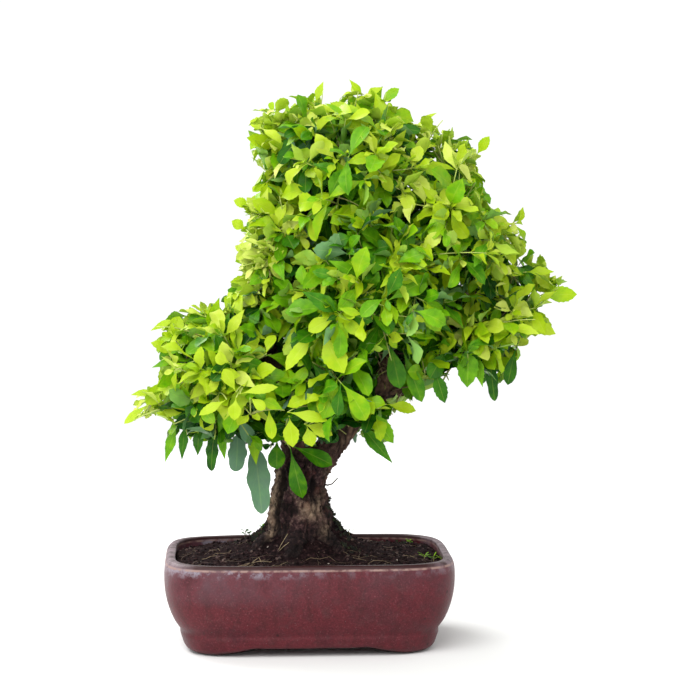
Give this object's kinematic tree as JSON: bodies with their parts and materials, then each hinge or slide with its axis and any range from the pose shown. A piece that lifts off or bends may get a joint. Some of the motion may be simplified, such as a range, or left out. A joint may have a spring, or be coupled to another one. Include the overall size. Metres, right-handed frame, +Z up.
{
  "type": "potted bonsai tree",
  "caption": "Golden dewdrop bonsai: a forked woody trunk with leafy shoots, standing in soil in a rounded rectangular glazed pot on corner feet.",
  "frame": {"origin": "middle of the footprint of the whole plant, on the surface that the pot's feet stand on", "axes": "+Z up, the plant's height; +X to the right along the pot's length; +Y to the back, the plant's shortest side"},
  "size_m": [0.466, 0.3086, 0.5929],
  "materials": {
    "glaze": "satin",
    "screen_plastic": "matte",
    "soil": "matte",
    "bark": "matte",
    "foliage": "satin"
  },
  "bodies": {
    "root": {"drain_screen_left": "screen_plastic", "drain_screen_right": "screen_plastic", "pot": "glaze", "shoot_centre_01": "foliage", "shoot_centre_02": "foliage", "shoot_centre_03": "foliage", "shoot_centre_04": "foliage", "shoot_centre_05": "foliage", "shoot_centre_06": "foliage", "shoot_centre_07": "foliage", "shoot_centre_08": "foliage", "shoot_centre_09": "foliage", "shoot_centre_10": "foliage", "shoot_crown_01": "foliage", "shoot_crown_02": "foliage", "shoot_crown_03": "foliage", "shoot_crown_04": "foliage", "shoot_crown_05": "foliage", "shoot_crown_06": "foliage", "shoot_crown_07": "foliage", "shoot_crown_08": "foliage", "shoot_crown_09": "foliage", "shoot_crown_10": "foliage", "shoot_crown_11": "foliage", "shoot_crown_12": "foliage", "shoot_left_pad_01": "foliage", "shoot_left_pad_02": "foliage", "shoot_left_pad_03": "foliage", "shoot_left_pad_04": "foliage", "shoot_left_pad_05": "foliage", "shoot_left_pad_06": "foliage", "shoot_left_pad_07": "foliage", "shoot_left_pad_08": "foliage", "shoot_left_pad_09": "foliage", "shoot_left_shoulder_01": "foliage", "shoot_left_shoulder_02": "foliage", "shoot_left_shoulder_03": "foliage", "shoot_left_shoulder_04": "foliage", "shoot_low_01": "foliage", "shoot_low_02": "foliage", "shoot_low_03": "foliage", "shoot_low_04": "foliage", "shoot_low_05": "foliage", "shoot_right_01": "foliage", "shoot_right_02": "foliage", "shoot_right_03": "foliage", "shoot_right_04": "foliage", "shoot_right_05": "foliage", "shoot_right_06": "foliage", "shoot_right_07": "foliage", "shoot_right_08": "foliage", "shoot_shoulder_01": "foliage", "shoot_shoulder_02": "foliage", "shoot_shoulder_03": "foliage", "shoot_shoulder_04": "foliage", "shoot_shoulder_05": "foliage", "shoot_shoulder_06": "foliage", "shoot_shoulder_07": "foliage", "soil": "soil", "trunk": "bark"}
  },
  "joints": []
}
